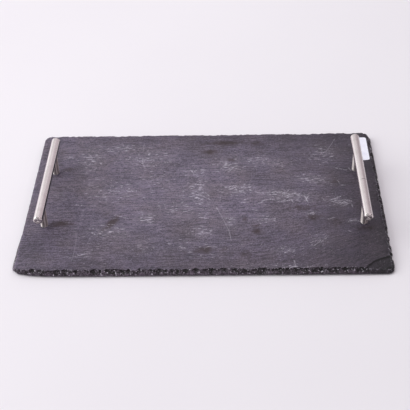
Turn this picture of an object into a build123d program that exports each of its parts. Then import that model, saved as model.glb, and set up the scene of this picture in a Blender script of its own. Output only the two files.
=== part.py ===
from build123d import *
import os
from math import atan, degrees

# Slate serving board with a bar handle near each short end.
#
# A riven slate slab with dressed edges stands on thin rubber feet. Each handle is a closed steel tube on
# two posts. A stud joins each post to a tapped insert inside the tube, and a screw from below, with its
# head sunk in the slate, clamps the post to the slab. A seat washer lies between post and slate.
#
# Frame: millimetres, +X along the slab, +Y from the front edge to the rear edge, +Z up. The origin is
# on the table, under the middle of the slab. Threads are plain cylinders with a small clearance.

# Slate slab
slab_length = 400.0
slab_depth = 250.0
slab_thickness = 6.0
edge_land = 1.5  # upright foot of the dressed edge
edge_bevel = 3.1  # how far the dressed edge leans in between its foot and the top face
front_left_radius = 7.0
front_right_radius = 8.0
rear_left_radius = 12.0
rear_right_radius = 12.0

# Scar of the flake that has split off the front right corner
flake_along_front = 33.0
flake_along_side = 21.0
flake_bulge = 4.2  # how far the scar's edge bows inwards from a straight line
flake_depth = 1.2

# Feet
foot_diameter = 14.0
foot_thickness = 1.5
foot_inset = 30.0  # from the slab's edges to a foot's centre

# Bar handles
handle_inset = 25.0  # from the slab's short edge to the bar's axis
handle_projection = 32.0  # from the seat washer to the top of the bar
hole_spacing = 96.0  # between the two posts of a handle
bar_length = 148.0  # over the end plugs
bar_diameter = 10.0
tube_wall = 1.0
post_diameter = 8.0

# End plugs
plug_flange = 1.6
plug_spigot = 6.0
plug_chamfer = 1.1  # on the rim of the flange
plug_dimple_radius = 0.6  # dimple that the lathe's centre has left in the face
plug_dimple_depth = 0.15

# Screws, studs, inserts and washers
thread_diameter = 4.0
thread_chamfer = 0.4
thread_runout = 0.5  # tapped depth beyond a screw's end
screw_in_post = 8.0
screw_head_diameter = 7.6
screw_head_height = 2.2
screw_head_round = 1.4
screw_head_sunk = 0.2  # from the head up to the slab's underside
cross_slot_length = 4.2
cross_slot_width = 0.9
cross_slot_depth = 1.3
screw_washer_diameter = 9.0
screw_washer_thickness = 0.8
seat_washer_diameter = 8.0
seat_washer_thickness = 0.5
stud_in_post = 6.0
stud_in_insert = 5.0
insert_length = 12.0

# Paper label on the slab, beside the right handle
label_width = 13.0
label_length = 46.5
label_thickness = 0.15
label_corner = 2.5
label_from_washers = 2.0  # from the rim of the handle's seat washers to the label
label_from_rear = 13.0  # from the slab's rear edge to the label

# Clearances, on the radius
thread_clearance = 0.05
bore_clearance = 0.05  # plugs and inserts in the tube
saddle_clearance = 0.05  # post against the outside of the tube
hole_clearance = 0.25  # screws and studs through plain holes
counterbore_clearance = 0.5  # screw washer in the slate

# Heights and places that follow from the sizes above
slab_bottom = foot_thickness
slab_top = slab_bottom + slab_thickness
counterbore_depth = screw_head_sunk + screw_head_height + screw_washer_thickness
counterbore_top = slab_bottom + counterbore_depth
screw_seat = counterbore_top - screw_washer_thickness
post_bottom = slab_top + seat_washer_thickness
bar_radius = bar_diameter / 2
tube_bore_radius = bar_radius - tube_wall
bar_axis = post_bottom + handle_projection - bar_radius
bar_underside = bar_axis - bar_radius
tube_length = bar_length - 2 * plug_flange
bore_fit_radius = tube_bore_radius - bore_clearance
tapped_radius = thread_diameter / 2 + thread_clearance
plain_hole_radius = thread_diameter / 2 + hole_clearance
handle_x = slab_length / 2 - handle_inset
foot_x = slab_length / 2 - foot_inset
foot_y = slab_depth / 2 - foot_inset

SIDES = {"left": -1, "right": 1}
ENDS = {"front": -1, "rear": 1}
STANDING = (Align.CENTER, Align.CENTER, Align.MIN)
ALONG_Y = Rot(90, 0, 0)


def standing_cylinder(radius, bottom, top):
    """An upright cylinder on the Z axis between two heights."""
    return Pos(0, 0, bottom) * Cylinder(radius, top - bottom, align=STANDING)


def washer(outer_diameter, bottom, thickness):
    """A flat ring on the Z axis that clears a screw."""
    ring = standing_cylinder(outer_diameter / 2, bottom, bottom + thickness)
    return ring - standing_cylinder(plain_hole_radius, bottom, bottom + thickness)


def slab_outline():
    """The slab's plan, a rectangle with a different radius at each corner."""
    outline = Rectangle(slab_length, slab_depth)
    corners = {
        (-1, -1): front_left_radius,
        (1, -1): front_right_radius,
        (-1, 1): rear_left_radius,
        (1, 1): rear_right_radius,
    }
    for (toward_x, toward_y), radius in corners.items():
        furthest = outline.vertices().sort_by(lambda v: toward_x * v.X + toward_y * v.Y)[-1]
        outline = fillet(furthest, radius)
    return outline


def corner_flake():
    """The thin chip that is missing from the front right corner, as a solid to cut away."""
    right = slab_length / 2
    front = -slab_depth / 2
    start = (right - flake_along_front, front)
    end = (right, front + flake_along_side)
    beyond = edge_bevel
    scar = SagittaArc(start, end, flake_bulge)
    around = Polyline(
        end,
        (right + beyond, end[1]),
        (right + beyond, front - beyond),
        (start[0], front - beyond),
        start,
    )
    return Pos(0, 0, slab_top - flake_depth) * extrude(make_face(scar + around), 2 * flake_depth)


def slate_slab():
    """The slab: upright foot, leaning dressed edge, corner scar and stepped holes for the screws."""
    outline = slab_outline()
    rise = slab_thickness - edge_land
    lean = degrees(atan(edge_bevel / rise))
    slab = Pos(0, 0, slab_bottom) * extrude(outline, edge_land)
    slab += Pos(0, 0, slab_bottom + edge_land) * extrude(outline, rise, taper=lean)
    slab -= corner_flake()
    counterbore_radius = screw_washer_diameter / 2 + counterbore_clearance
    hole = standing_cylinder(counterbore_radius, slab_bottom, counterbore_top)
    hole += standing_cylinder(plain_hole_radius, slab_bottom, slab_top)
    for toward_x in SIDES.values():
        for toward_y in ENDS.values():
            slab -= Pos(toward_x * handle_x, toward_y * hole_spacing / 2, 0) * hole
    return slab


def foot():
    """A rubber disc between the table and the slab."""
    return standing_cylinder(foot_diameter / 2, 0, foot_thickness)


def fixing_screw():
    """A button-head screw, head down, with a cross recess."""
    head = standing_cylinder(screw_head_diameter / 2, screw_seat - screw_head_height, screw_seat)
    head = fillet(head.edges().filter_by(GeomType.CIRCLE).sort_by(Axis.Z)[0], screw_head_round)
    tip = post_bottom + screw_in_post
    shank = standing_cylinder(thread_diameter / 2, screw_seat, tip)
    shank = chamfer(shank.edges().filter_by(GeomType.CIRCLE).sort_by(Axis.Z)[-1], thread_chamfer)
    screw = head + shank
    for turn in (0, 90):
        slot = Box(cross_slot_length, cross_slot_width, cross_slot_depth, align=STANDING)
        screw -= Pos(0, 0, screw_seat - screw_head_height) * Rot(0, 0, turn) * slot
    return screw


def stud():
    """A headless stud, half in the post and half in the insert."""
    top = bar_underside + tube_wall + stud_in_insert
    rod = standing_cylinder(thread_diameter / 2, bar_underside - stud_in_post, top)
    return chamfer(rod.edges().filter_by(GeomType.CIRCLE), thread_chamfer)


def post():
    """A round post, tapped at both ends, with its top cut to a saddle for the bar."""
    blank = standing_cylinder(post_diameter / 2, post_bottom, bar_axis)
    saddle = Cylinder(bar_radius + saddle_clearance, 2 * post_diameter)
    blank -= Pos(0, 0, bar_axis) * ALONG_Y * saddle
    screw_hole_top = post_bottom + screw_in_post + thread_runout
    blank -= standing_cylinder(tapped_radius, post_bottom, screw_hole_top)
    stud_hole_bottom = bar_underside - stud_in_post - thread_runout
    return blank - standing_cylinder(tapped_radius, stud_hole_bottom, bar_axis)


def bar_insert():
    """A round slug that fills the tube above a post and is tapped across for the stud."""
    slug = Pos(0, 0, bar_axis) * ALONG_Y * Cylinder(bore_fit_radius, insert_length)
    return slug - standing_cylinder(tapped_radius, bar_underside, bar_axis + bar_radius)


def bar_tube():
    """The bar: a tube along Y with a hole in its underside at each post."""
    tube = Cylinder(bar_radius, tube_length) - Cylinder(tube_bore_radius, tube_length)
    tube = Pos(0, 0, bar_axis) * ALONG_Y * tube
    for toward_y in ENDS.values():
        stud_hole = standing_cylinder(plain_hole_radius, bar_underside, bar_axis)
        tube -= Pos(0, toward_y * hole_spacing / 2, 0) * stud_hole
    return tube


def end_plug():
    """A plug whose spigot lies along -Z in the tube. Its flange has a chamfered rim and a dimple in the face."""
    flange = standing_cylinder(bar_radius, 0, plug_flange)
    rim = flange.edges().filter_by(GeomType.CIRCLE).sort_by(Axis.Z)[-1]
    flange = chamfer(rim, min(plug_chamfer, 0.95 * plug_flange))
    plug = flange + standing_cylinder(bore_fit_radius, -plug_spigot, 0)
    dimple_ball = (plug_dimple_radius**2 + plug_dimple_depth**2) / (2 * plug_dimple_depth)
    return plug - Pos(0, 0, plug_flange - plug_dimple_depth + dimple_ball) * Sphere(dimple_ball)


def paper_label():
    """A blank sticker on the slate beside the right handle."""
    left = handle_x + seat_washer_diameter / 2 + label_from_washers
    rear = slab_depth / 2 - label_from_rear
    sheet = RectangleRounded(label_width, label_length, label_corner, align=(Align.MIN, Align.MAX))
    return Pos(left, rear, slab_top) * extrude(sheet, label_thickness)


os.makedirs("parts", exist_ok=True)

pieces = {"slate_slab": slate_slab(), "paper_label": paper_label()}
upright_pieces = {
    "fixing_screw": fixing_screw(),
    "screw_washer": washer(screw_washer_diameter, screw_seat, screw_washer_thickness),
    "seat_washer": washer(seat_washer_diameter, slab_top, seat_washer_thickness),
    "post": post(),
    "stud": stud(),
    "bar_insert": bar_insert(),
}
plug = end_plug()

for side, toward_x in SIDES.items():
    pieces[f"{side}_bar_tube"] = Pos(toward_x * handle_x, 0, 0) * bar_tube()
    for end, toward_y in ENDS.items():
        at_post = Pos(toward_x * handle_x, toward_y * hole_spacing / 2, 0)
        for name, piece in upright_pieces.items():
            pieces[f"{side}_{end}_{name}"] = at_post * piece
        at_tube_end = Pos(toward_x * handle_x, toward_y * tube_length / 2, bar_axis)
        pieces[f"{side}_{end}_end_plug"] = at_tube_end * Rot(-90 * toward_y, 0, 0) * plug
        pieces[f"{side}_{end}_foot"] = Pos(toward_x * foot_x, toward_y * foot_y, 0) * foot()

for name, piece in pieces.items():
    export_step(piece, f"parts/{name}.step")
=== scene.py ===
from math import radians

import bmesh
import bpy
import numpy as np
from mathutils import Matrix, Vector
from mathutils.geometry import delaunay_2d_cdt


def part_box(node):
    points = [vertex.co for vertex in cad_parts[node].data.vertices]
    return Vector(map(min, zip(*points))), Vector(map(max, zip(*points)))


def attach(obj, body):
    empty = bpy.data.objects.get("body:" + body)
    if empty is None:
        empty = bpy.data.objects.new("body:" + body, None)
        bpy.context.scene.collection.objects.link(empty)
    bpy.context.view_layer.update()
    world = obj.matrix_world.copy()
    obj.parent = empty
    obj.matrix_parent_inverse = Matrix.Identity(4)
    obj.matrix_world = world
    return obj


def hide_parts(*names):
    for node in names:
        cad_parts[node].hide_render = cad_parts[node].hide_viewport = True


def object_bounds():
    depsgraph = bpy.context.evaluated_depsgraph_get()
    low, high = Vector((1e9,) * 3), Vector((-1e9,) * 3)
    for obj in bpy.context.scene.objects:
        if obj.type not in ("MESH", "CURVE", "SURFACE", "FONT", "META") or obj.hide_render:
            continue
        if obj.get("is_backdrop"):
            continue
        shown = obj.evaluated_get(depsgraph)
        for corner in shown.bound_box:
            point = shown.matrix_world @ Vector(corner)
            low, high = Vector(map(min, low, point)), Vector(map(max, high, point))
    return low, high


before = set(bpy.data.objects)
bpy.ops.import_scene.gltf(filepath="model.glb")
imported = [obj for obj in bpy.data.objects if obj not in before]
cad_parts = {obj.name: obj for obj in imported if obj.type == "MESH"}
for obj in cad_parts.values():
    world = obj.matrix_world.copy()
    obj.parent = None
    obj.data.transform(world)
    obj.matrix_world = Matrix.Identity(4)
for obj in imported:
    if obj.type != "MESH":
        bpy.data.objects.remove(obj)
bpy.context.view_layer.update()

# Feet: four thin black rubber discs, die cut from sheet and glued under the corners of the slab.
# The cutting die drags the rubber, so the side is a little hollow and both rims are rounded.
mm = 0.001
scene = bpy.context.scene
foot_rim_round = 0.35 * mm
foot_side_hollow = 0.15 * mm
foot_steps = 56
foot_names = [f"{side}_{end}_foot" for side in ("left", "right") for end in ("front", "rear")]


def linear(code):
    """The sRGB colour of a hex code as linear red, green, blue and a full alpha."""
    value = np.array([int(code[i:i + 2], 16) for i in (1, 3, 5)]) / 255
    curve = np.where(value <= 0.04045, value / 12.92, ((value + 0.055) / 1.055) ** 2.4)
    return (*curve.tolist(), 1.0)


def feed(tree, socket, value):
    """Links an input to an output, or sets it to a number, a vector or the colour of a hex code."""
    if isinstance(value, bpy.types.NodeSocket):
        tree.links.new(value, socket)
    else:
        socket.default_value = linear(value) if isinstance(value, str) else value


def node(tree, kind, *inputs, out=None, **settings):
    """Adds one shader node with its settings, then feeds the inputs that they leave in use, in their order.
    None keeps an input as it is. Gives back the output called out, or the first one in use."""
    new = tree.nodes.new("ShaderNode" + kind)
    for name, value in settings.items():
        setattr(new, name, value)
    in_use = [socket for socket in new.inputs if socket.enabled]
    for socket, value in zip(in_use, inputs):
        if value is not None:
            feed(tree, socket, value)
    return new.outputs[out] if out else next(socket for socket in new.outputs if socket.enabled)


def blank_material(name):
    """A new material, its node tree, and the place on the object that its patterns go by."""
    material = bpy.data.materials.new(name)
    material.use_nodes = True
    tree = material.node_tree
    return material, tree, node(tree, "TexCoord", out="Object")


def coat(tree, inputs):
    """Feeds the inputs of a material's main shader, each by its name."""
    for name, value in inputs.items():
        feed(tree, tree.nodes["Principled BSDF"].inputs[name], value)


def grid_faces(rows, columns, closed=False):
    """Four-cornered faces between neighbours of a grid of points. A closed grid joins its last column to its
    first."""
    steps = columns if closed else columns - 1
    row, column = np.meshgrid(np.arange(rows - 1), np.arange(steps), indexing="ij")
    here, above = row * columns, (row + 1) * columns
    after = (column + 1) % columns
    return np.stack([here + column, here + after, above + after, above + column], -1).reshape(-1, 4)


def turned(radius, height, centre, steps):
    """A profile carried once round an upright line: for each of its points, x = r cos a, y = r sin a and
    z = height."""
    angle = np.linspace(0, 2 * np.pi, steps, endpoint=False)
    radius, height = np.array(radius)[:, None], np.array(height)[:, None]
    x = centre[0] + radius * np.cos(angle)
    y = centre[1] + radius * np.sin(angle)
    return np.stack([x, y, height + 0 * x], -1).reshape(-1, 3)


def joined(name, patches, values=None):
    """One closed mesh from patches of points and faces: points that meet are welded and faces are turned
    outwards. values holds an array of numbers, or of vectors, for each attribute, over all points in the
    patches' order."""
    points = np.concatenate([patch[0] for patch in patches])
    starts = np.cumsum([0] + [len(patch[0]) for patch in patches[:-1]])
    numbered = [(np.asarray(faces) + start).tolist() for (_, faces), start in zip(patches, starts)]
    mesh = bpy.data.meshes.new(name)
    mesh.from_pydata(points.tolist(), [], [face for faces in numbered for face in faces])
    for key, value in (values or {}).items():
        vector = value.ndim == 2
        attribute = mesh.attributes.new(key, "FLOAT_VECTOR" if vector else "FLOAT", "POINT")
        attribute.data.foreach_set("vector" if vector else "value", value.astype(np.float32).ravel())
    work = bmesh.new()
    work.from_mesh(mesh)
    bmesh.ops.remove_doubles(work, verts=work.verts, dist=0.001 * mm)
    bmesh.ops.dissolve_degenerate(work, edges=work.edges, dist=0.0001 * mm)
    bmesh.ops.recalc_face_normals(work, faces=work.faces)
    work.to_mesh(mesh)
    work.free()
    mesh.polygons.foreach_set("use_smooth", np.ones(len(mesh.polygons), bool))
    return mesh


def placed(mesh, material, slot, *replaced):
    """Puts a finished mesh in the scene in place of the CAD nodes it stands for."""
    mesh.materials.append(material)
    piece = bpy.data.objects.new(mesh.name, mesh)
    scene.collection.objects.link(piece)
    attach(piece, "root")
    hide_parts(*replaced)


# Black rubber sheet: matt, with a dusty bloom that greys it in places. Its fine grit is drawn coarser than
# it is, so that it shows.
rubber, tree, place = blank_material("die_cut_rubber")
bloom = node(tree, "TexNoise", place, 1 / (2.5 * mm), 3)
grit = node(tree, "TexNoise", place, 1 / (0.5 * mm), 1)
coat(tree, {
    "Base Color": node(tree, "Mix", bloom, "#161618", "#2E2D30", data_type="RGBA"),
    "Roughness": 0.85,
    "Normal": node(tree, "Bump", 0.6, 0.05 * mm, None, grit),
})

for name in foot_names:
    low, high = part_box(name)
    middle = (low + high) / 2
    full = (high.x - low.x) / 2
    half = full / 2
    turn = np.linspace(0, np.pi / 2, 6)
    rim_in = foot_rim_round * (1 - np.sin(turn))
    rim_up = foot_rim_round * (1 - np.cos(turn))
    waist = full - foot_side_hollow * np.sin(np.linspace(0, np.pi, 7)[1:-1])
    waist_up = np.linspace(low.z + foot_rim_round, high.z - foot_rim_round, 7)[1:-1]
    radius = [0, half, *(full - rim_in), *waist, *(full - rim_in[::-1]), half, 0]
    height = [low.z, low.z, *(low.z + rim_up), *waist_up, *(high.z - rim_up[::-1]), high.z, high.z]
    disc = turned(radius, height, middle, foot_steps)
    foot = joined("cut_" + name, [(disc, grid_faces(len(radius), foot_steps, closed=True))])
    placed(foot, rubber, "black_rubber", name)

# Slab: one plate of slate, split by hand along its grain, so the faces are riven: long low ridges, thin
# steps and scuffs. The edge is dressed from above with small blows that leave a row of hollow chips.
slab_low, slab_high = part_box("slate_slab")
half_length = slab_high.x
half_depth = slab_high.y
slab_bottom = slab_low.z
slab_top = slab_high.z
corner_radius = np.array([8, 12, 12, 7]) * mm  # front right, rear right, rear left, front left
corner_blend = 7 * mm  # to each side of a corner, where the edge's make changes from one side to the next
once_round = 4 * (half_length + half_depth)
# Distance round the plan's rectangle to each corner, in the same order, from the front left
corner_round = 2 * np.array([half_length, half_length + half_depth, 2 * half_length + half_depth, 0])
post_places = np.array([(x, y) for x in (-175, 175) for y in (-48, 48)]) * mm
counterbore_radius = 5 * mm
counterbore_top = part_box("left_front_screw_washer")[1].z
screw_hole_radius = 2.25 * mm
hole_steps = 48
inset_reach = 14 * mm  # how far in from the edge the top's grid is drawn in to meet the chips
grid_columns, grid_rows, rim_rows = 340, 212, 13


def hills(x, y, spacing_x, spacing_y, seed):
    """Random heights from -1 to 1 on a lattice of the given spacing, blended between lattice points by
    3t2 - 2t3."""
    count = 512
    height = np.random.default_rng(seed).uniform(-1, 1, (count, count))
    column, row = x / spacing_x, y / spacing_y
    i, j = np.floor(column).astype(int), np.floor(row).astype(int)
    s, t = column - i, row - j
    s, t = s * s * (3 - 2 * s), t * t * (3 - 2 * t)
    i, j, next_i, next_j = i % count, j % count, (i + 1) % count, (j + 1) % count
    near = height[i, j] * (1 - s) + height[next_i, j] * s
    far = height[i, next_j] * (1 - s) + height[next_i, next_j] * s
    return near * (1 - t) + far * t


def ease(value, start, end):
    """Rises from 0 at start to 1 at end along the curve 3t2 - 2t3."""
    t = np.clip((value - start) / (end - start), 0, 1)
    return t * t * (3 - 2 * t)


def distances(x, y, places):
    """Distance in the plan from each point to each of some places."""
    return np.hypot(x[..., None] - places[:, 0], y[..., None] - places[:, 1])


def corner_of(x, y):
    """Number of the nearest corner, counted round from the front right, with its radius and the centre of its
    arc."""
    number = np.where(x > 0, np.where(y > 0, 1, 0), np.where(y > 0, 2, 3))
    radius = corner_radius[number]
    return number, radius, half_length - radius, half_depth - radius


def rounded_corners(x, y, radius, centre_x, centre_y):
    """A rectangle's points moved so that its corners are round: in each corner's square, a point whose larger
    offset is m goes to the arc of radius m, at an angle in proportion to its smaller offset."""
    across, along = (abs(x) - centre_x) / radius, (abs(y) - centre_y) / radius
    larger, smaller = np.maximum(across, along), np.minimum(across, along)
    swing = np.pi / 4 * smaller / np.maximum(larger, 1e-9)
    major, minor = larger * np.cos(swing), larger * np.sin(swing)
    new_x = centre_x + radius * np.where(across >= along, major, minor)
    new_y = centre_y + radius * np.where(across >= along, minor, major)
    inside = (across > 0) & (along > 0)
    return np.where(inside, np.sign(x) * new_x, x), np.where(inside, np.sign(y) * new_y, y)


def outline_place(x, y):
    """Where a point of the plan lies against the outline: how far round from the front left corner,
    anticlockwise, how far in from the edge, and the direction out, which is radial in the corners."""
    number, radius, centre_x, centre_y = corner_of(x, y)
    across, along = abs(x) - centre_x, abs(y) - centre_y
    in_corner = (across > 0) & (along > 0)
    reach = np.hypot(across, along)
    to_side, to_end = half_depth - abs(y), half_length - abs(x)
    at_end = to_end < to_side
    out_x = np.where(in_corner, np.sign(x) * across / reach, np.where(at_end, np.sign(x), 0))
    out_y = np.where(in_corner, np.sign(y) * along / reach, np.where(at_end, 0, np.sign(y)))
    inwards = np.where(in_corner, radius - reach, np.minimum(to_side, to_end))
    quarter = (np.arctan2(out_y, out_x) / (np.pi / 2) + 1 - number) % 4
    at_corner = corner_round[number] + radius * (2 * quarter - 1)
    on_front = x + half_length
    on_right = 2 * half_length + half_depth + y
    on_rear = 3 * half_length + 2 * half_depth - x
    on_left = 4 * half_length + 3 * half_depth - y
    on_side = np.where(at_end, np.where(x > 0, on_right, on_left), np.where(y > 0, on_rear, on_front))
    return np.where(in_corner, at_corner, on_side) % once_round, inwards, out_x, out_y


def by_side(around, front, right, rear, left):
    """The value that belongs to each side, blended across every corner by 3t2 - 2t3."""
    lead = 60 * mm
    from_corner = (around + lead) % once_round - lead
    value = left + (front - left) * ease(from_corner, -corner_blend, corner_blend)
    for before, after, corner in zip((front, right, rear), (right, rear, left), corner_round[:3]):
        value = value + (after - before) * ease(from_corner, corner - corner_blend, corner + corner_blend)
    return value


def round_past(around, start):
    """Distance round the slab from a start, less than 0 before it and more than 0 after it."""
    return (around - start + once_round / 2) % once_round - once_round / 2


# Each blow of the dressing hammer broke out a hollow: part of an ellipsoid, upright at the top edge and
# flaring out to a shelf below. Three sizes overlap, and the small ones nibble at the ridges between the
# large. The front was struck hardest, but its foot stayed whole, so the lower outline there is clean.
chips = np.random.default_rng(17)
chip_counts = (95, 190, 340)
chip_total = sum(chip_counts)
chip_at = chips.uniform(0, once_round, chip_total)
chip_half = np.repeat((6.2, 3.4, 1.7), chip_counts) * chips.uniform(0.7, 1.35, chip_total) * mm
chip_drop = np.repeat((4.4, 3.8, 2.6), chip_counts) * chips.uniform(0.7, 1.2, chip_total) * mm
chip_bite = np.repeat((4.9, 4.5, 4.1), chip_counts) * chips.uniform(0.7, 1.25, chip_total) * mm
chip_bite *= by_side(chip_at, 1.0, 0.85, 0.8, 0.62)


def scar_reach(around):
    """1 where the corner scar runs out over the edge, falling to 0 to either side."""
    past = round_past(around, corner_round[0])
    return ease(past, -29 * mm, -23 * mm) * (1 - ease(past, 15 * mm, 21 * mm))


def edge_foot(around):
    """How far in the foot of the edge lies: slow waves, small nibbles at the sides and rear, a rounded front
    right corner, and the front left corner, which was cut off at a slant in front and left proud at the
    side."""
    wave = 0.18 * hills(around, 0 * around, 55 * mm, 1, 3) + 0.08 * hills(around, 0 * around, 17 * mm, 1, 4)
    left, right = round_past(around, corner_round[3]) / mm, round_past(around, corner_round[0]) / mm
    slant = 1.9 * np.exp(-((left - 7) / 9) ** 2) + 3.2 * np.exp(-(left / 30) ** 2)
    proud = 2.4 * np.exp(-((left + 20) / 34) ** 2) * ease(-left, 8.5, 12)
    rounded = 0.4 * np.exp(-(right / 9) ** 2)
    bitten = np.maximum(hills(around, 0 * around, 3.6 * mm, 1, 6), 0)
    nibble = by_side(around, 0.0, 1.3, 0.3, 0.9) * bitten - by_side(around, 0.0, 0.25, 0.0, 0.2)
    side = by_side(around, 0.0, 0.2, 1.0, 1.8)
    return (side + wave + slant * ease(left, -10.5, -5.5) - proud + rounded + nibble) * mm


def edge_face(around, height):
    """How far the chipped edge stands out from the plan, never more than 0, at a place round the slab and a
    height. It is the lesser of a plain edge, which leans in above its foot, and of each hollow:
    -bite sqrt(1 - (distance / half)2 - (depth below the top / drop)2), made rough by a fine grit."""
    up = (height - slab_bottom) / (slab_top - slab_bottom)
    foot = edge_foot(around)
    head = np.maximum(by_side(around, 3.0, 2.9, 3.2, 3.0) * mm, foot + 0.4 * mm)
    plain = -foot - (head - foot) * np.clip((up - 0.25) / 0.75, 0, 1)
    apart = round_past(around[..., None], chip_at)
    below = slab_top - height[..., None]
    inside = 1 - (apart / chip_half) ** 2 - (below / chip_drop) ** 2
    hollow = -(chip_bite * np.sqrt(np.maximum(inside, 0))).max(-1) * (1 - 0.8 * scar_reach(around))
    grit = hills(around, height, 1.9 * mm, 1.3 * mm, 5) * by_side(around, 0.3, 0.22, 0.2, 0.12) * mm
    return np.minimum(np.minimum(plain, hollow) + grit * ease(up, 0.02, 0.35), 0)


def grain_place(x, y):
    """Distances along and across the slate's grain. It runs along the slab, wavers by a millimetre or two,
    and swings up to forty degrees round towards the front right corner."""
    turn_length = 180 * mm
    swing = np.clip((x - 20 * mm) / turn_length, 0, 1)
    near = ease(-y, -35 * mm, 110 * mm)
    across = y - 0.45 * turn_length * swing ** 2 * near
    waver = 1.2 * hills(x, y, 70 * mm, 45 * mm, 21) + 0.25 * hills(x, y, 24 * mm, 18 * mm, 22)
    return x + 0.4 * (y - across), across + waver * mm


def riven_relief(x, y, along, across):
    """Height of the riven face: low swells, long ridges that follow the grain, and thin steps where a layer
    ended."""
    swell = 0.16 * hills(x, y, 90 * mm, 60 * mm, 31) + 0.08 * hills(x, y, 34 * mm, 26 * mm, 32)
    ridge = 0.050 * hills(along, across, 42 * mm, 5.5 * mm, 33)
    ridge += 0.028 * hills(along, across, 19 * mm, 2.6 * mm, 34)
    layer = 2.2 * hills(along, across, 75 * mm, 32 * mm, 35) + 0.8 * hills(along, across, 17 * mm, 6 * mm, 36)
    step = np.floor(layer) + ease(layer % 1, 0, 0.16)
    return (swell + ridge + 0.11 * step) * mm


def seat_flatness(x, y):
    """1 where the riven face is free, falling to 0 where a seat washer or the label lies flat on it."""
    to_posts = distances(x, y, post_places).min(-1)
    low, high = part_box("paper_label")
    past_x = np.maximum(np.maximum(low.x - x, x - high.x), 0)
    past_y = np.maximum(np.maximum(low.y - y, y - high.y), 0)
    return ease(to_posts, 6.5 * mm, 16 * mm) * ease(np.hypot(past_x, past_y), 0.6 * mm, 9 * mm)


# A thin flake has split off the front right corner. Its scar has a rounded edge, an arc through three points,
# and a second, smaller step inside.
scar_edge = np.array([(167.0, -125.4), (180.6, -111.0), (200.0, -103.6)]) * mm
chord = np.stack([scar_edge[1] - scar_edge[0], scar_edge[2] - scar_edge[0]])
scar_centre = scar_edge[0] + np.linalg.solve(2 * chord, (chord ** 2).sum(1))
scar_radius = np.linalg.norm(scar_edge[0] - scar_centre)


def scar_ring(x, y):
    """How far inside the scar's rounded edge a point lies; the edge wavers by a millimetre."""
    waver = 0.9 * mm * hills(x, y, 6 * mm, 6 * mm, 41)
    return scar_radius - np.hypot(x - scar_centre[0], y - scar_centre[1]) + waver


def scar_depth(x, y):
    """Depth of the corner scar: two steps, each an arc about the same centre, and a slope of 1 in 10 down to
    the corner."""
    ring = scar_ring(x, y)
    steps = 1.0 * ease(ring, -0.3 * mm, 0.8 * mm) + 0.4 * ease(ring, 6.6 * mm, 8.0 * mm)
    return steps * mm + 0.1 * np.maximum(ring, 0)


def edge_spalls(around, inwards):
    """Depth of the thin spalls along the top edge: shallow round dishes, depth (1 - distance2) where that is
    positive."""
    pick = np.random.default_rng(51)
    count = 130
    at = pick.uniform(0, once_round, count)
    reach = pick.uniform(1.5, 4.5, count) * mm
    half = pick.uniform(1.5, 6.5, count) * mm
    depth = pick.uniform(0.12, 0.5, count) * by_side(at, 1.0, 2.2, 1.2, 1.0) * mm
    across = (inwards[..., None] - 2.5 * mm) / reach
    bowl = 1 - (round_past(around[..., None], at) / half) ** 2 - across ** 2
    return (depth * np.clip(bowl, 0, 1)).max(-1)


def border_loop(rows, columns):
    """Numbers of the points on a grid's border, once round."""
    number = np.arange(rows * columns).reshape(rows, columns)
    return np.concatenate([number[0, :-1], number[:-1, -1], number[-1, :0:-1], number[:0:-1, 0]])


length_steps = np.linspace(-half_length, half_length, grid_columns + 1)
flat_x, flat_y = np.meshgrid(length_steps, np.linspace(-half_depth, half_depth, grid_rows + 1))
plan_x, plan_y = rounded_corners(flat_x, flat_y, *corner_of(flat_x, flat_y)[1:])
around, inwards, out_x, out_y = outline_place(plan_x, plan_y)
border = inwards < inset_reach
inset = np.zeros_like(plan_x)
inset[border] = edge_face(around[border], np.full(border.sum(), slab_top))
inset[border] *= (1 - inwards[border] / inset_reach) ** 2
top_x, top_y = plan_x + out_x * inset, plan_y + out_y * inset
along, across = grain_place(top_x, top_y)
relief = riven_relief(top_x, top_y, along, across) * seat_flatness(top_x, top_y) - scar_depth(top_x, top_y)
relief[border] -= edge_spalls(around[border], inwards[border])
top = np.stack([top_x, top_y, slab_top + relief], -1).reshape(-1, 3)

# The hole for each screw opens inside the seat washer's ring: the grid's faces there give way to a flat ring.
hole_margin = 3.4 * mm
top_faces = grid_faces(grid_rows + 1, grid_columns + 1)
from_post = distances(top[:, 0], top[:, 1], post_places)
near_hole = (from_post[top_faces] < hole_margin).any(1)
patches = [(top, top_faces[~near_hole.any(1)])]


def filled(rim_points, rim_edges, inner_points, height, hole_centres, hole_radius):
    """Flat triangles at one height inside a closed rim, less those whose middle lies in one of the round
    holes."""
    plan = [Vector(point) for point in np.concatenate([rim_points, inner_points])]
    found, _, faces, _, _, _ = delaunay_2d_cdt(plan, np.asarray(rim_edges).tolist(), [], 1, 1e-7)
    points, faces = np.array([(point.x, point.y, height) for point in found]), np.array(faces)
    middle = points[faces].mean(1)
    to_hole = distances(middle[:, 0], middle[:, 1], hole_centres).min(1)
    return points, faces[to_hole > hole_radius * np.cos(np.pi / hole_steps)]


def closed_edges(count, start=0):
    """Pairs of neighbours round a closed ring of points that are numbered from a start."""
    number = np.arange(count)
    return np.stack([number, (number + 1) % count], -1) + start


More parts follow.
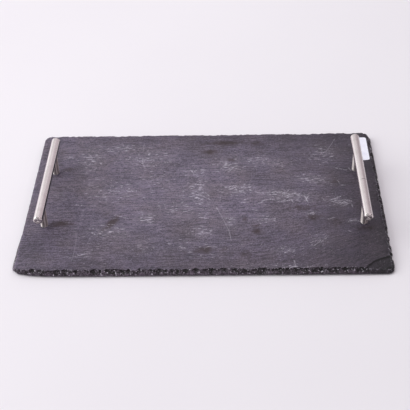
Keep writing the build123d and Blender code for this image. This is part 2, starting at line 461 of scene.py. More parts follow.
underside_rims = []
for i, post_place in enumerate(post_places):
    lost = top_faces[near_hole[:, i]]
    sides = np.concatenate([lost[:, [0, 1]], lost[:, [1, 2]], lost[:, [2, 3]], lost[:, [3, 0]]])
    _, where, times = np.unique(np.sort(sides, 1), axis=0, return_index=True, return_counts=True)
    rim_numbers, rim_edges = np.unique(sides[where[times == 1]], return_inverse=True)
    hole_radius = [screw_hole_radius, screw_hole_radius, counterbore_radius, counterbore_radius]
    hole_height = [slab_top, counterbore_top, counterbore_top, slab_bottom]
    wall = turned(hole_radius, hole_height, post_place, hole_steps)
    rim = np.concatenate([top[rim_numbers][:, :2], wall[:hole_steps, :2]])
    rim_edges = np.concatenate([rim_edges.reshape(-1, 2), closed_edges(hole_steps, len(rim_numbers))])
    patches.append(filled(rim, rim_edges, np.zeros((0, 2)), slab_top, post_place[None], screw_hole_radius))
    patches.append((wall, grid_faces(len(hole_radius), hole_steps, closed=True)))
    underside_rims.append(wall[-hole_steps:, :2])

loop = border_loop(grid_rows + 1, grid_columns + 1)
loop_around = around.ravel()[loop]
loop_out = np.stack([out_x.ravel(), out_y.ravel()], -1)[loop]
loop_plan = np.stack([plan_x.ravel(), plan_y.ravel()], -1)[loop]
down = np.linspace(0, 1, rim_rows)[:, None]
nominal = slab_top + (slab_bottom - slab_top) * down + 0 * loop_around
stands_out = edge_face(loop_around + 0 * nominal, nominal)
edge_xy = loop_plan + loop_out * stands_out[..., None]
edge_z = top[loop, 2] * (1 - down) + slab_bottom * down
edge = np.concatenate([edge_xy, edge_z[..., None]], -1)
edge[0] = top[loop]
patches.append((edge.reshape(-1, 3), grid_faces(rim_rows, len(loop), closed=True)))

# Underside: riven too, and left as it split, between the dressed edge and the rims of the four sunk holes.
under_spacing = 4.0
rim = np.concatenate([edge[-1][:, :2], *underside_rims])
rim_edges = [closed_edges(len(loop))]
rim_edges += [closed_edges(hole_steps, len(loop) + i * hole_steps) for i in range(len(post_places))]
inner_rows = np.arange(-117, 118, under_spacing) * mm
inner_x, inner_y = np.meshgrid(np.arange(-192, 193, under_spacing) * mm, inner_rows)
inner_x = inner_x + 1.2 * mm * np.sin(inner_y / (9 * mm))
clear = distances(inner_x, inner_y, post_places).min(-1) > 6.5 * mm
clear &= outline_place(inner_x, inner_y)[1] > 6 * mm
inner = np.stack([inner_x[clear], inner_y[clear]], -1)
under, under_faces = filled(
    rim, np.concatenate(rim_edges), inner, slab_bottom, post_places, counterbore_radius
)
under_around, free, _, _ = outline_place(under[:, 0], under[:, 1])
free = free - edge_foot(under_around)
foot_places = np.array([(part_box(name)[0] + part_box(name)[1]) / 2 for name in foot_names])[:, :2]
apart = distances(under[:, 0], under[:, 1], np.concatenate([foot_places, post_places])).min(1)
under_along, under_across = grain_place(-under[:, 0], under[:, 1])
lift = 0.22 * mm + riven_relief(-under[:, 0], under[:, 1], under_along, under_across)
under[:, 2] += np.clip(lift, 0, 0.6 * mm) * ease(apart, 8.5 * mm, 17 * mm) * ease(free, 2 * mm, 12 * mm)
patches.append((under, under_faces))

# Marks of use: pale scuffs and dark stains, each over its own oval, and single scrapes where an edge was
# dragged. Three of the dark ovals are painted shadows beside the feet of the posts.
scuffs = [  # x, y, half length, half width in mm, turn in degrees, strength
    (93, 0, 30, 11, -10, 0.75), (152, -12, 14, 9, -20, 0.6), (163, -45, 8, 4, -5, 0.6),
    (38, 12, 18, 12, 0, 0.7), (27, 55, 20, 13, -10, 0.6), (-9, 8, 16, 24, 0, 0.75), (-14, 45, 18, 14, 0, 0.6),
    (-64, -37, 12, 12, 0, 0.7), (-70, 75, 34, 18, 0, 0.6), (-105, 15, 40, 24, 0, 0.4),
    (-136, 75, 16, 24, 0, 0.7), (-162, 79, 8, 7, 0, 0.5), (124, 30, 20, 10, -10, 0.7),
    (142, 80, 18, 20, 40, 0.5), (119, -32, 10, 5, -10, 0.5), (68, -42, 13, 8, 0, 0.7),
    (60, 66, 40, 12, -8, 0.5), (-100, 95, 34, 10, 0, 0.5), (-2, -62, 14, 10, 0, 0.6),
    (30, -47, 8, 10, 0, 0.6), (-105, -60, 26, 14, 0, 0.5), (88, -93, 18, 8, 10, 0.5),
    (125, -78, 14, 12, 45, 0.5), (85, -119, 40, 5, 0, 0.6), (-128, -98, 14, 6, 15, 0.6),
    (-30, -88, 75, 18, 0, 0.25), (-60, 30, 60, 30, 0, 0.3), (-20, -20, 40, 24, 0, 0.4),
]
stains = [  # as the scuffs
    (57, -62, 6, 6, 20, 0.9), (5, 86, 8, 5, 0, 1.2), (31, 70, 6, 4, 0, 1.0), (22, 104, 24, 6, 0, 1.0),
    (-101, -45, 14, 5, 60, 1.2), (46, -42, 5, 6, 0, 0.7), (1, -92, 10, 7, 0, 1.1), (45, -99, 13, 9, 0, 0.6),
    (121, -39, 11, 6, 0, 0.9), (110, -22, 14, 7, -15, 0.7), (146, -47, 14, 7, 10, 0.6),
    # (-158, -46), (-160, 54) and (177, -58) are painted shadows of the posts on the slate beside their feet
    (62, 102, 10, 6, 0, 0.9), (-158, -46, 12, 5, 0, 1.3), (-160, 54, 10, 5, 0, 0.7),
    (177, -58, 12, 6, 0, 0.9), (58, -53, 4, 3, 0, 0.9), (24, -90, 6, 4, 0, 0.7),
    (105, -20, 20, 7, 0, 0.4), (150, 25, 12, 9, 0, 0.5),
]
scrapes = [  # strength, then the points of the stroke in mm
    (1.0, (28, 17), (34, 19), (39, 18)), (0.9, (35, 16), (37, 10)), (1.0, (44, 17), (47, 16)),
    (1.0, (42, 7), (46, 7)), (1.0, (45, -7), (48, -6)), (0.8, (42, -12), (48, -12)), (0.8, (60, 6), (63, 5)),
    (0.7, (65, 5), (67, 4)), (0.8, (70, 5), (73, 5)), (0.9, (77, 6), (80, 8), (84, 5), (91, 4)),
    (0.9, (66, -9), (74, -7), (79, -8)), (1.0, (93, -1), (97, 2), (103, 3), (106, 1), (111, -1)),
    (1.0, (113, -2), (115, -8), (116, -11)), (0.9, (117, -3), (113, -10)),
    (1.0, (83, -11), (89, -11), (96, -9)), (0.9, (62, -13), (65, -12)), (0.8, (98, -9), (100, -12)),
    (1.0, (142, -9), (148, -6), (153, -3)),
    (0.9, (144, -12), (149, -14)), (1.0, (151, -10), (158, -9), (164, -11)), (1.0, (152, -14), (159, -14)),
    (0.9, (155, -19), (161, -16)), (0.6, (164, -13), (165, -21)), (0.75, (115, -34), (119, -32), (123, -30)),
    (0.8, (55, -25), (58, -26)), (0.9, (24, -39), (32, -39)), (0.9, (27, -46), (29, -46)),
    (1.0, (28, -51), (31, -51)), (0.85, (161, -46), (166, -45), (171, -47)), (0.6, (158, -63), (160, -64)),
    (0.4, (63, -45), (74, -42)), (0.6, (137, -42), (143, -40)), (0.9, (157, 18), (159, 18)),
    (0.5, (133, -6), (135, -10)), (0.6, (121, 10), (124, 10)), (0.5, (153, 26), (154, 23)),
    (0.5, (-101, 105), (-98, 95)), (0.5, (-94, 103), (-98, 94)), (0.4, (-75, 102), (-75, 92)),
    (0.8, (-49, 84), (-46, 84)), (0.7, (-75, 69), (-72, 58)), (0.5, (-83, 73), (-78, 68)),
    (0.7, (-70, 58), (-64, 59)), (0.5, (-67, 73), (-62, 72)), (0.5, (-165, 80), (-158, 79)),
    (1.0, (-16, 49), (-14, 45)), (1.0, (-13, 23), (-5, 22)), (0.9, (-12, 5), (-3, 1)),
    (0.7, (-5, 3), (6, -5)), (0.8, (2, 6), (5, 2)), (0.9, (-87, 11), (-78, 12)), (0.7, (-123, 2), (-112, 1)),
    (0.7, (-127, -15), (-123, -15)), (0.5, (-111, -3), (-111, -9)), (0.4, (-172, 6), (-159, 5)),
    (0.5, (-160, -4), (-157, -3)), (0.6, (-91, 2), (-86, 2)), (0.7, (18, 66), (27, 63)),
    (0.6, (21, 56), (27, 63)), (1.0, (-4, -37), (3, -39)), (0.6, (-7, -21), (1, -22)),
    (0.7, (-94, -54), (-89, -56)), (0.9, (-121, -62), (-118, -64)), (0.6, (-6, -64), (7, -64)),
    (0.4, (-108, 21), (-108, 12)), (0.8, (168, 50), (170, 46)), (0.4, (156, 109), (144, 84), (135, 83)),
    (0.4, (126, 74), (139, 66), (145, 60)), (0.9, (149, 74), (152, 75)), (0.6, (153, 51), (164, 47)),
    (0.7, (28, 47), (34, 55)), (0.6, (-98, -32), (-85, -37)), (0.8, (-145, -13), (-137, -14)),
    (0.5, (-135, -100), (-120, -95)), (1.0, (-24, -88), (-20, -88)), (0.45, (118, -87), (126, -78)),
    (0.5, (125, -82), (134, -71)), (0.6, (80, -91), (86, -90)), (0.5, (88, -96), (95, -95)),
    (0.9, (78, -121), (98, -119)), (0.7, (96, -111), (97, -118)),
]
hairlines = [  # thin scratches that a dragged point has left
    (0.55, (14, -20), (21, -39), (28, -61), (30, -76)),
    (0.28, (-139, -60), (-137, -72), (-137, -93), (-138, -107)),
]
stroke_reach = 1.6  # how far from its line a stroke still counts, in mm


def ovals(x, y, marks):
    """Strength of the strongest oval mark at each point: strength times exp(-distance2), distance in half
    sizes."""
    middle_x, middle_y, half_x, half_y, turn, strength = np.array(marks, float).T
    cos, sin = np.cos(np.radians(turn)), np.sin(np.radians(turn))
    off_x, off_y = x[:, None] / mm - middle_x, y[:, None] / mm - middle_y
    first, second = (off_x * cos + off_y * sin) / half_x, (off_y * cos - off_x * sin) / half_y
    return (strength * np.exp(-first ** 2 - second ** 2)).max(1)


def strokes(x, y, marks):
    """For the nearest stroke at each point: strength times exp(-distance2), the distance in units of the
    stroke's reach, and how far to one side of its line the point lies, in mm."""
    pieces = np.array([(mark[0], *a, *b) for mark in marks for a, b in zip(mark[1:], mark[2:])], float)
    strength, start, run = pieces[:, 0], pieces[:, 1:3], pieces[:, 3:5] - pieces[:, 1:3]
    run_length = np.linalg.norm(run, axis=1)
    off = np.stack([x, y], -1)[:, None] / mm - start
    share = np.clip((off * run).sum(-1) / run_length ** 2, 0, 1)
    distance = np.linalg.norm(off - share[..., None] * run, axis=-1)
    aside = (run[:, 0] * off[..., 1] - run[:, 1] * off[..., 0]) / run_length
    nearest = distance.argmin(1)
    pick = np.arange(len(x)), nearest
    return strength[nearest] * np.exp(-(distance[pick] / stroke_reach) ** 2), aside[pick]


def painted_sheen_and_shade(x, y):
    """A painted sheen and painted shade over the stone, a product of broad bell curves and soft steps. The
    painted sheen is strongest left of the middle, and the painted shade darkens the front, the rear right and
    most of all the right. The front left corner and the outermost left margin are a little paler again."""
    x, y = x / mm, y / mm
    pale = 0.75 + 0.25 * np.exp(-((x + 49) / 122) ** 2 - ((y + 40) / 91) ** 2)
    right = 1 - 0.7 * np.exp(-((x - 235) / 95) ** 2)
    right_margin = (1 - 0.12 * ease(x, 178, 190)) * (1 - 0.14 * ease(x, 187, 196))
    front = 1 - 0.29 * np.exp(-((y + 125) / 90) ** 2)
    rear = 1 - 0.33 * np.exp(-((x - 87) / 174) ** 2 - ((y - 125) / 29) ** 2)
    corner = 1 + 0.22 * np.exp(-((x + 188) / 38) ** 2 - ((y + 108) / 18) ** 2)
    left_margin = 0.92 + 0.05 * ease(-x, 180, 190) + 0.4 * ease(-x, 193.5, 197.5)
    return left_margin * corner * pale * right * right_margin * front * rear


every = np.concatenate([patch[0] for patch in patches])
x, y = every[:, 0], every[:, 1]
sizes = [len(patch[0]) for patch in patches]
is_edge = np.repeat([len(points) == edge[..., 0].size for points, _ in patches], sizes)
is_top = np.arange(len(every)) < sizes[0]
spread = np.mean([np.roll(stands_out, step, 1) for step in range(-4, 5)], 0)
# On the edge, ridge and below hold painted shade: the colour darkens in the hollows and high under the top
# edge
on_edge = {
    "broken": ease(down, 0, 0.12) * (1 - 0.75 * scar_reach(loop_around)),
    "crest": 1 - ease(down, 0.02, 0.2) + 0 * loop_around,
    "ridge": np.clip((stands_out - spread) / (0.7 * mm), -1, 1),
    "below": down + 0 * loop_around,
}
marks = {}
for name, value in on_edge.items():
    marks[name] = np.zeros(len(every))
    marks[name][is_edge] = value.ravel()
marks["crest"][is_top] = (1 - ease(inwards, 0.2 * mm, 1.6 * mm)).ravel()
# The tone attribute holds painted sheen and painted shade, not the stone's own colour
marks["tone"] = painted_sheen_and_shade(x, y)
marks["scar_ring"] = np.where(is_top | is_edge, scar_ring(x, y) / mm, -9)
marks["scuff"] = np.where(is_top, ovals(x, y, scuffs), 0.1)
marks["stain"] = np.where(is_top, ovals(x, y, stains), 0)
for name, stroke_list in (("scrape", scrapes), ("hairline", hairlines)):
    near, marks[name + "_aside"] = strokes(x, y, stroke_list)
    marks[name] = np.where(is_top, near, 0)
marks["grain"] = np.stack([*grain_place(x, y), every[:, 2]], -1)
slab_mesh = joined("riven_slate_slab", patches, marks)
slab_mesh.set_sharp_from_angle(angle=radians(55))

# Riven slate: matt and dark grey, with fine pale dashes along the grain, cool grey and mauve clouds, whitish
# scuffs, and darker, rougher stone where the edge was broken. The dashes and specks of the grain are drawn
# coarser than they are, so that they show. Its colour also holds painted light: a broad painted sheen and
# painted shade, painted shadows beside the posts and along the scar's steps, and painted shade in the chips.
slate, tree, place = blank_material("riven_slate")
painted = {}
for name in marks:
    painted[name] = node(tree, "Attribute", attribute_name=name, out="Vector" if name == "grain" else "Fac")
along_grain = {}
for name, cell, detail, roughness in (  # cells in mm along, across and up
    ("streak", (18, 1.6, 3), 0, 0.5), ("dash", (4.6, 1.45, 2), 0, 0.5),
    ("fleck", (5.5, 1.2, 2), 2, 0.6), ("chalk", (1.4, 1.0, 2), 1, 0.5),
):
    scale = tuple(1 / (length * mm) for length in cell)
    scaled = node(tree, "VectorMath", painted["grain"], scale, operation="MULTIPLY")
    along_grain[name] = node(tree, "TexNoise", scaled, 1, detail, roughness)
speck = node(tree, "TexNoise", place, 1 / (1.45 * mm), 0)
cloud = node(tree, "TexNoise", place, 1 / (38 * mm), 2, 0.5)
elsewhere = node(tree, "VectorMath", place, (0.31, 0.17, 0.0), operation="ADD")
tint = node(tree, "TexNoise", elsewhere, 1 / (34 * mm), 4, 0.65)

pattern = node(tree, "Math", along_grain["streak"], 0.9, along_grain["dash"], operation="MULTIPLY_ADD")
lines = node(tree, "Math", speck, 1.4, pattern, operation="MULTIPLY_ADD")
body = node(tree, "MapRange", lines, 1.16, 2.14)
cool = node(tree, "Mix", body, "#4A4252", "#867A90", data_type="RGBA")
warm = node(tree, "Mix", body, "#4D434D", "#887A87", data_type="RGBA")
warmth = node(tree, "MapRange", tint, 0.4, 0.7, 0.0, 0.8)
stone = node(tree, "Mix", warmth, cool, warm, data_type="RGBA")
shade = node(tree, "MapRange", cloud, 0.3, 0.7, 0.85, 1.15)
clouded = node(tree, "VectorMath", stone, shade, operation="SCALE")

# Stains and painted shadows beside the posts, then the corner's scar with a painted shadow along each of its
# steps
smear = node(tree, "TexNoise", place, 1 / (5 * mm), 3, 0.6)
stain_and_shadow_blotch = node(tree, "Math", smear, 1.6, painted["stain"], operation="MULTIPLY_ADD")
stain_and_shadow_share = node(tree, "MapRange", stain_and_shadow_blotch, 1.0, 1.75, 0.0, 0.78)
stained = node(tree, "Mix", stain_and_shadow_share, clouded, "#3B2728", data_type="RGBA")
ring = painted["scar_ring"]
scar_share = node(tree, "MapRange", ring, -0.3, 0.6, 1.0, 0.64)
sunken = node(tree, "VectorMath", stained, scar_share, operation="SCALE")
from_step = node(tree, "Math", ring, 7.0, operation="PINGPONG")
inside = node(tree, "MapRange", ring, -1.0, -0.4)
# Painted shadow: a dark line along each step of the scar, where the step is in shade
painted_step_shadow = node(tree, "MapRange", from_step, 0.5, 1.5, 0.9, 0.0)
painted_step_shadow = node(tree, "Math", painted_step_shadow, inside, operation="MULTIPLY")
scarred_and_step_shadowed = node(tree, "Mix", painted_step_shadow, sunken, "#17141A", data_type="RGBA")

# Pale marks: flecks where the scuffs are, and scrapes and hairlines, each broken up along its line
bar = node(tree, "Math", painted["scuff"], -0.14, 0.655, operation="MULTIPLY_ADD")
bar_top = node(tree, "Math", bar, 0.07, operation="ADD")
fleck_share = node(tree, "MapRange", painted["scuff"], 0.0, 0.4, 0.4, 0.82)
flecked = node(tree, "MapRange", along_grain["fleck"], bar, bar_top, 0.0, fleck_share)
paled = node(tree, "Math", painted["scuff"], 0.1, flecked, operation="MULTIPLY_ADD")
broken_up = node(tree, "MapRange", along_grain["chalk"], 0.4, 0.56)
worn_off = node(tree, "MapRange", along_grain["fleck"], 0.35, 0.65, 0.3)
for stroke, breaks, solid, gone in (  # mm from its line up to which it is solid, and where it is gone
    ("scrape", broken_up, 0.15, 1.1), ("hairline", worn_off, 0.1, 0.7),
):
    aside = node(tree, "Math", painted[stroke + "_aside"], operation="ABSOLUTE")
    line = node(tree, "MapRange", aside, solid, gone, 1.0, 0.0)
    drawn = node(tree, "Math", painted[stroke], line, operation="MULTIPLY")
    dragged = node(tree, "Math", drawn, breaks, operation="MULTIPLY")
    paled = node(tree, "Math", paled, dragged, operation="MAXIMUM")
# Painted sheen and shade: the tone scales the stone, tints its darker parts pink, and dims the pale marks and
# the broken edge
sheen_and_shade_level = painted["tone"]
shade_tint_share = node(tree, "MapRange", sheen_and_shade_level, 0.3, 0.7, 1.0, 0.0)
shade_tint = node(tree, "Mix", shade_tint_share, (1, 1, 1, 1), (1, 0.93, 0.97, 1), data_type="RGBA")
shade_tinted = node(tree, "VectorMath", scarred_and_step_shadowed, shade_tint, operation="MULTIPLY")
sheen_and_shade_toned = node(tree, "VectorMath", shade_tinted, sheen_and_shade_level, operation="SCALE")
pale_level = node(tree, "MapRange", sheen_and_shade_level, 0.3, 0.9, 0.6, 0.92)
pale = node(tree, "VectorMath", linear("#CDC5D3")[:3], pale_level, operation="SCALE")
faced = node(tree, "Mix", paled, sheen_and_shade_toned, pale, data_type="RGBA")

# Broken stone: painted shade darkens the hollows and the stone high under the top edge, and it is greyer on
# the ridges and towards the foot, with glints and a worn crest
chip_grit = node(tree, "TexNoise", place, 1 / (1.6 * mm), 2, 0.6)
chip_patch = node(tree, "TexNoise", place, 1 / (6 * mm), 1)
crushed_and_shaded = chip_grit
# Painted shade: darker high under the top edge and in the hollows, lighter on the ridges and towards the foot
for level, weight in ((painted["below"], 0.14), (painted["ridge"], 0.08), (chip_patch, 0.5)):
    crushed_and_shaded = node(tree, "Math", level, weight, crushed_and_shaded, operation="MULTIPLY_ADD")
grit_and_shade_tone = node(tree, "MapRange", crushed_and_shaded, 0.76, 1.16)
grey = node(tree, "Mix", grit_and_shade_tone, "#191216", "#8A7B8D", data_type="RGBA")
fresh_level = node(tree, "MapRange", sheen_and_shade_level, 0.3, 1.0, 0.37, 1.25)
tinted = node(tree, "VectorMath", grey, shade_tint, operation="MULTIPLY")
cut = node(tree, "VectorMath", tinted, fresh_level, operation="SCALE")
sparkle = node(tree, "TexNoise", place, 1 / (1.9 * mm), 1)
glint = node(tree, "MapRange", sparkle, 0.64, 0.72, 0.0, 0.8)
fresh = node(tree, "Mix", glint, cut, "#C4BCC9", data_type="RGBA")
edged = node(tree, "Mix", painted["broken"], faced, fresh, data_type="RGBA")
wear = node(tree, "MapRange", chip_grit, 0.54, 0.68, 0.0, 0.75)
crested = node(tree, "Math", painted["crest"], wear, operation="MULTIPLY")
coat(tree, {
    "Base Color": node(tree, "Mix", crested, edged, "#A69EAA", data_type="RGBA"),
    "Roughness": node(tree, "MapRange", lines, 1.1, 2.2, 0.56, 0.72),
    "Specular IOR Level": 0.4,
    "Normal": node(tree, "Bump", 0.7, 0.2 * mm, None, lines),
})

placed(slab_mesh, slate, "slate", "slate_slab")

# Label: a small blank sticker of white paper, pressed flat on the slate beside the right handle.
# One corner has been picked at and stands up a little.
label_low, label_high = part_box("paper_label")
label_corner = 2.5 * mm
label_columns, label_rows = 16, 48
label_clearance = 0.01 * mm  # between the paper and the slate
corner_lift = 0.7 * mm
lift_reach = 9 * mm


def sheet_of_paper(low, high, columns, rows):
    """A thin sheet with rounded corners, as two grids a paper's thickness apart. The height rises by
    corner_lift (1 - distance / lift_reach)2 towards the front right corner."""
    u, v = np.meshgrid(np.linspace(-1, 1, columns + 1), np.linspace(-1, 1, rows + 1))
    half_x, half_y = (high.x - low.x) / 2, (high.y - low.y) / 2
    arc_x, arc_y = half_x - label_corner, half_y - label_corner
    x, y = rounded_corners(u * half_x, v * half_y, label_corner, arc_x, arc_y)
    lift = corner_lift * np.clip(1 - np.hypot(x - half_x, y + half_y) / lift_reach, 0, 1) ** 2
    middle = (low + high) / 2
    lower = np.stack([x + middle.x, y + middle.y, low.z + label_clearance + lift], -1)
    upper = np.stack([x + middle.x, y + middle.y, high.z + lift], -1)
    return lower.reshape(-1, 3), upper.reshape(-1, 3)


under_paper, over_paper = sheet_of_paper(label_low, label_high, label_columns, label_rows)
paper_faces = grid_faces(label_rows + 1, label_columns + 1)
paper_loop = border_loop(label_rows + 1, label_columns + 1)
strip = np.concatenate([under_paper[paper_loop], over_paper[paper_loop]])
paper_patches = [
    (under_paper, paper_faces),
    (over_paper, paper_faces),
    (strip, grid_faces(2, len(paper_loop), closed=True)),
]

# Coated label paper: white with a lilac cast in this light, matt, faintly mottled, with soft fibres that are
# drawn coarser than they are.
paper, tree, place = blank_material("coated_label_paper")
fibre = node(tree, "TexNoise", place, 1 / (1.2 * mm), 3)
mottle = node(tree, "TexNoise", place, 1 / (9 * mm), 2)
sheet_tone = node(tree, "Math", fibre, 0.5, mottle, operation="MULTIPLY_ADD")
tone = node(tree, "MapRange", sheet_tone, 0.5, 1.0)
coat(tree, {
    "Base Color": node(tree, "Mix", tone, "#E4E2F1", "#F3F1FB", data_type="RGBA"),
    "Roughness": 0.7,
    "Normal": node(tree, "Bump", 0.4, 0.03 * mm, None, fibre),
})

paper_mesh = joined("blank_paper_label", paper_patches)
paper_mesh.set_sharp_from_angle(angle=radians(40))
placed(paper_mesh, paper, "paper", "paper_label")


# Screws, studs and inserts: zinc plated steel. A screw comes up from below into each post, with its head and
# washer sunk in the slate, and a stud joins the post to a tapped insert inside the bar.
def finished(material, *endings):
    """Gives one finish to every CAD piece whose name ends so."""
    for name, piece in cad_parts.items():
        if name.endswith(endings):
            for slot in piece.material_slots:
                slot.material = material


# Zinc plate: bluish grey, half bright, with a dull spangle, drawn coarser than it is, and darker handling
# marks.
zinc, tree, place = blank_material("zinc_plated_steel")
spangle = node(tree, "TexVoronoi", place, 1 / (0.9 * mm), out="Distance")
dulling = node(tree, "TexNoise", place, 1 / (2.4 * mm), 3)
coat(tree, {
    "Base Color": node(tree, "Mix", dulling, "#A3A5AB", "#C9CACF", data_type="RGBA"),
    "Metallic": 1.0,
    "Roughness": node(tree, "MapRange", spangle, 0.0, 1.0, 0.3, 0.48),
    "Normal": node(tree, "Bump", 0.4, 0.03 * mm, None, dulling),
})
finished(zinc, "_fixing_screw", "_screw_washer", "_stud", "_bar_insert")

# Seat washers: thin rings of natural nylon, punched from sheet, that keep the posts off the slate.
# The screws clamp them between the two.

# Natural nylon: milky and a little see-through, with a soft shine and faint flow marks.
nylon, tree, place = blank_material("natural_nylon")
flow = node(tree, "TexNoise", place, 1 / (3 * mm), 2)
coat(tree, {
    "Base Color": node(tree, "Mix", flow, "#C9C2C3", "#DED8D8", data_type="RGBA"),
    "Roughness": 0.35,
    "Transmission Weight": 0.35,
    "IOR": 1.53,
})
finished(nylon, "_seat_washer")

# Posts: turned from round steel bar, tapped at both ends, with a saddle cut across the top for the bar.
# Each stands on its seat washer, held by the screw from below.

# Turned steel: bright and a little warm. Its fine rings from the lathe tool stretch each reflection up and
# down, and are drawn coarser than they are.
turned_steel, tree, place = blank_material("turned_steel")
ring_scale = (1 / (30 * mm), 1 / (30 * mm), 1 / (0.8 * mm))
rings = node(tree, "VectorMath", place, ring_scale, operation="MULTIPLY")
turning = node(tree, "TexNoise", rings, 1, 2)
coat(tree, {
    "Base Color": node(tree, "Mix", turning, "#B9AEAE", "#CBC0BF", data_type="RGBA"),
    "Metallic": 1.0,
    "Roughness": node(tree, "MapRange", turning, 0.3, 0.7, 0.5, 0.54),
    "Anisotropic": 1.0,
    "Anisotropic Rotation": 0.25,
})
finished(turned_steel, "_post")

# End plugs: turned steel caps with a flat face and a chamfered rim, pressed into the bars' ends.
# The spigot that holds each one has a small lead-in chamfer, and the lathe's centre has left a dimple in the
# face.
plug_spigot_length = 6.0 * mm
plug_spigot_radius = 3.95 * mm
plug_lead_in = 0.3 * mm
plug_chamfer = 1.1 * mm
plug_chamfer_soft = 0.15 * mm
plug_dimple_radius = 0.6 * mm
plug_dimple_depth = 0.15 * mm
plug_steps = 64

# Faced steel: bright, with rings from the facing tool that draw each reflection out towards and away from the
# middle.
faced_steel, tree, place = blank_material("faced_steel")
breath = node(tree, "TexNoise", place, 1 / (3 * mm), 3)
coat(tree, {
    "Base Color": node(tree, "Mix", breath, "#D8CECC", "#E8DFDE", data_type="RGBA"),
    "Metallic": 1.0,
    "Roughness": node(tree, "MapRange", breath, 0.3, 0.7, 0.21, 0.26),
    "Anisotropic": 1.0,
    "Anisotropic Rotation": 0.25,
    "Tangent": node(tree, "Tangent", direction_type="RADIAL", axis="Y"),
})

for name in [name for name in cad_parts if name.endswith("_end_plug")]:
    low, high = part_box(name)
    middle, plug_length, full = (low + high) / 2, high.y - low.y, (high.x - low.x) / 2
    flat = full - plug_chamfer
    turn = np.linspace(0, np.pi / 4, 4)
    bend_in, bend_up = plug_chamfer_soft * (1 - np.cos(turn)), plug_chamfer_soft * np.sin(turn)
    bowl = np.linspace(0.85, 0, 6)
    spigot_radius = [0, plug_spigot_radius - plug_lead_in, plug_spigot_radius, plug_spigot_radius, full]
    spigot_height = [0, 0, plug_lead_in, plug_spigot_length, plug_spigot_length]
    profile = [  # radius and height, from the spigot's end to the middle of the face
        (spigot_radius, spigot_height),
        (full - bend_in, plug_length - plug_chamfer - bend_up[-1] + bend_up),
        (flat - bend_up[-1] + bend_up[::-1], plug_length - bend_in[::-1]),
        ([0.9 * flat, 0.55 * flat, plug_dimple_radius], [plug_length, plug_length, plug_length]),
        (plug_dimple_radius * bowl, plug_length - plug_dimple_depth * (1 - bowl ** 2)),
    ]
    radius, height = (np.concatenate(part) for part in zip(*profile))
    upright = turned(radius, height, (0, 0), plug_steps)
    lying_y = middle.y + np.sign(middle.y) * (upright[:, 2] - plug_length / 2)
    lying = np.stack([middle.x + upright[:, 0], lying_y, middle.z + upright[:, 1]], -1)
    plug = joined("turned_" + name, [(lying, grid_faces(len(radius), plug_steps, closed=True))])
    plug.set_sharp_from_angle(angle=radians(35))
    placed(plug, faced_steel, "polished_steel", name)

# Bars: round steel tube, ground and brushed lengthways, drilled underneath for the studs, which pull it down
# into the saddles of the posts.
nick_slope = 0.35  # how far the nick runs along the bar for its way across
nick_offset = 74.1 * mm  # how far in front of the board's middle the nick's line would meet its centre line

# Satin steel: a broad soft highlight drawn out along the bar, fine lengthways lines, drawn coarser than they
# are, and a few finger marks. The right-hand bar has painted shade on its outer side and a nick across the
# top. A painted reflection of the dark slate lies low on the left-hand bar's inner side.
satin, tree, place = blank_material("brushed_satin_steel")
brush_scale = (1 / (1.2 * mm), 1 / (60 * mm), 1 / (1.2 * mm))
brushed = node(tree, "VectorMath", place, brush_scale, operation="MULTIPLY")
brushing = node(tree, "TexNoise", brushed, 1, 3, 0.6)
touch = node(tree, "TexNoise", place, 1 / (14 * mm), 3)
finger = node(tree, "MapRange", touch, 0.5, 0.75, 0.0, 0.35)
brush_lines = node(tree, "MapRange", brushing, 0.3, 0.7)
steel = node(tree, "Mix", brush_lines, "#DBD0D0", "#E6DBDC", data_type="RGBA")
handled = node(tree, "Mix", finger, steel, "#C8BBB9", data_type="RGBA")
spot = node(tree, "SeparateXYZ", place).node.outputs
# Painted shade: the right-hand bar darkens towards its outer side, from 173 to 177 mm out
painted_outer_shade = node(tree, "MapRange", spot["X"], 173 * mm, 177 * mm, 1.0, 0.74)
# Painted reflection: low on the left-hand bar's inner side, a dark band stands in for the slate that it
# mirrors
low_down = node(tree, "MapRange", spot["Z"], 36.6 * mm, 38.2 * mm, 0.92, 0.0)
inner_side = node(tree, "MapRange", spot["X"], -174 * mm, -171 * mm)
painted_inner_reflection = node(tree, "Math", low_down, inner_side, operation="MULTIPLY")
on_left = node(tree, "Math", spot["X"], 0.0, operation="LESS_THAN")
painted_inner_reflection = node(tree, "Math", painted_inner_reflection, on_left, operation="MULTIPLY")
level = node(tree, "Math", painted_outer_shade, painted_inner_reflection, operation="SUBTRACT")
shaded_steel = node(tree, "VectorMath", handled, level, operation="SCALE")
slanted = node(tree, "Math", spot["X"], -nick_slope, spot["Y"], operation="MULTIPLY_ADD")
past_nick = node(tree, "Math", slanted, nick_offset, operation="ADD")
from_nick = node(tree, "Math", past_nick, operation="ABSOLUTE")
nick = node(tree, "MapRange", from_nick, 0.4 * mm, 1.3 * mm, 0.32, 0.0)
over_top = node(tree, "MapRange", spot["X"], 172.5 * mm, 174.5 * mm)
nick = node(tree, "Math", nick, over_top, operation="MULTIPLY")
coat(tree, {
    "Base Color": node(tree, "Mix", nick, shaded_steel, "#4A4442", data_type="RGBA"),
    "Metallic": 1.0,
    "Roughness": node(tree, "MapRange", brushing, 0.3, 0.7, 0.15, 0.22),
    "Normal": node(tree, "Bump", 0.1, 0.02 * mm, None, brushing),
})
finished(satin, "_bar_tube")

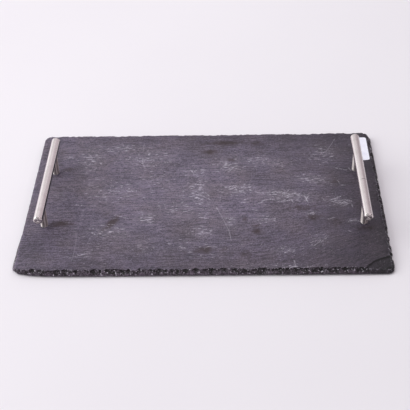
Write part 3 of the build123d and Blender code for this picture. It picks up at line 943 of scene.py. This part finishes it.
# Studio: the board stands on a wide sweep of white paper, lit softly from the left by one large screen.
floor_half = 4.0
floor = bpy.data.meshes.new("paper_sweep")
floor_corners = [(x * floor_half, y * floor_half, 0) for x, y in ((-1, -1), (1, -1), (1, 1), (-1, 1))]
floor.from_pydata(floor_corners, [], [(0, 1, 2, 3)])
sweep = bpy.data.objects.new("paper_sweep", floor)
scene.collection.objects.link(sweep)
sweep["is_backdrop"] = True

# White background paper: matt, a trace of lilac, barely cloudy, and with painted shade that greys it a little
# towards the front right.
background, tree, place = blank_material("white_background_paper")
cloudy = node(tree, "TexNoise", place, 1 / (300 * mm), 2)
white = node(tree, "Mix", cloudy, "#EEE9EE", "#F2EEF2", data_type="RGBA")
# Painted shade: the paper's colour falls off towards the front right
slope = node(tree, "VectorMath", place, (0.9, -0.45, 0), operation="DOT_PRODUCT", out="Value")
painted_falloff = node(tree, "MapRange", slope, -0.25, 0.35, 1.0, 0.91)
coat(tree, {
    "Base Color": node(tree, "VectorMath", white, painted_falloff, operation="SCALE"),
    "Roughness": 0.9,
    "Specular IOR Level": 0.1,
})
floor.materials.append(background)

# Walls of the room, by the bearing from the front in degrees: bright screens on the left, the dark side where
# the camera stands, one pale panel beside it, and a dim wall on the right. The ceiling is brighter to the
# rear, and the light from the left is a little cooler than the rest.
wall_levels = [
    (-150, 0.9), (-120, 2.3), (-66, 2.3), (-45, 0.04), (22, 0.04),
    (34, 1.4), (44, 1.4), (56, 0.05), (105, 0.12), (135, 0.6),
]
rear_level = 0.8
backdrop_level = 0.9
world = bpy.data.worlds.new("white_room")
scene.world = world
world.use_nodes = True
tree = world.node_tree
camera_ray = node(tree, "LightPath", out="Is Camera Ray")
way = node(tree, "SeparateXYZ", node(tree, "TexCoord", out="Generated")).node.outputs
forwards = node(tree, "Math", way["Y"], -1.0, operation="MULTIPLY")
bearing = node(tree, "Math", way["X"], forwards, operation="ARCTAN2")
round_room = node(tree, "MapRange", bearing, -np.pi, np.pi)
walls = node(tree, "ValToRGB", round_room)
ramp = walls.node.color_ramp.elements
for degrees, bright in wall_levels:
    ramp.new((degrees + 180) / 360).color = (bright, bright, bright, 1)
for stop in (ramp[0], ramp[-1]):
    stop.color = (rear_level, rear_level, rear_level, 1)
overhead = node(tree, "MapRange", way["Z"], 0.55, 0.9, interpolation_type="SMOOTHSTEP")
facing = node(tree, "MapRange", forwards, 0.35, 0.8)
high_up = node(tree, "MapRange", way["Z"], 0.15, 0.5, 0.0, 0.35)
front_wall = node(tree, "Math", facing, high_up, walls, operation="MULTIPLY_ADD")
ceiling = node(tree, "Math", way["Y"], 0.7, 1.0, operation="MULTIPLY_ADD")
room = node(tree, "Mix", overhead, front_wall, ceiling, data_type="FLOAT")
away = node(tree, "MapRange", way["X"], -0.7, 0.7)
surroundings = tree.nodes["Background"].inputs
feed(tree, surroundings["Color"], node(tree, "Mix", away, "#FAFFFF", "#FFF5FC", data_type="RGBA"))
feed(tree, surroundings["Strength"], node(tree, "Mix", camera_ray, room, backdrop_level, data_type="FLOAT"))

key = bpy.data.lights.new("soft_screen", "AREA")
key.shape = "RECTANGLE"
key.size, key.size_y = 1.4, 1.1
key.energy = 10
lamp = bpy.data.objects.new("soft_screen", key)
lamp.location = (-1.75, 0.1, 1.3)
lamp.rotation_euler = (-lamp.location).to_track_quat("-Z", "Y").to_euler()
scene.collection.objects.link(lamp)

# Camera: a little to the right of the middle, looking down on the board from the front.
target = Vector((0.712, -6.192, 0)) * mm
azimuth, elevation, roll = radians(2.246), radians(38.672), radians(-2.045)
distance = 1128.92 * mm
focal_pixels, picture_pixels = 997.474, 410
level_out = np.cos(elevation)
back = Vector((np.sin(azimuth) * level_out, -np.cos(azimuth) * level_out, np.sin(elevation)))
right = (-back).cross(Vector((0, 0, 1))).normalized()
up = back.cross(right)
turned_right = right * np.cos(roll) + up * np.sin(roll)
turned_up = up * np.cos(roll) - right * np.sin(roll)
lens = bpy.data.cameras.new("camera")
lens.sensor_width = 36
lens.lens = lens.sensor_width * focal_pixels / picture_pixels
camera = bpy.data.objects.new("camera", lens)
axes = Matrix((turned_right, turned_up, back)).transposed().to_4x4()
camera.matrix_world = Matrix.Translation(target + back * distance) @ axes
scene.collection.objects.link(camera)
scene.camera = camera
scene.view_settings.view_transform = "Standard"

low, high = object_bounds()
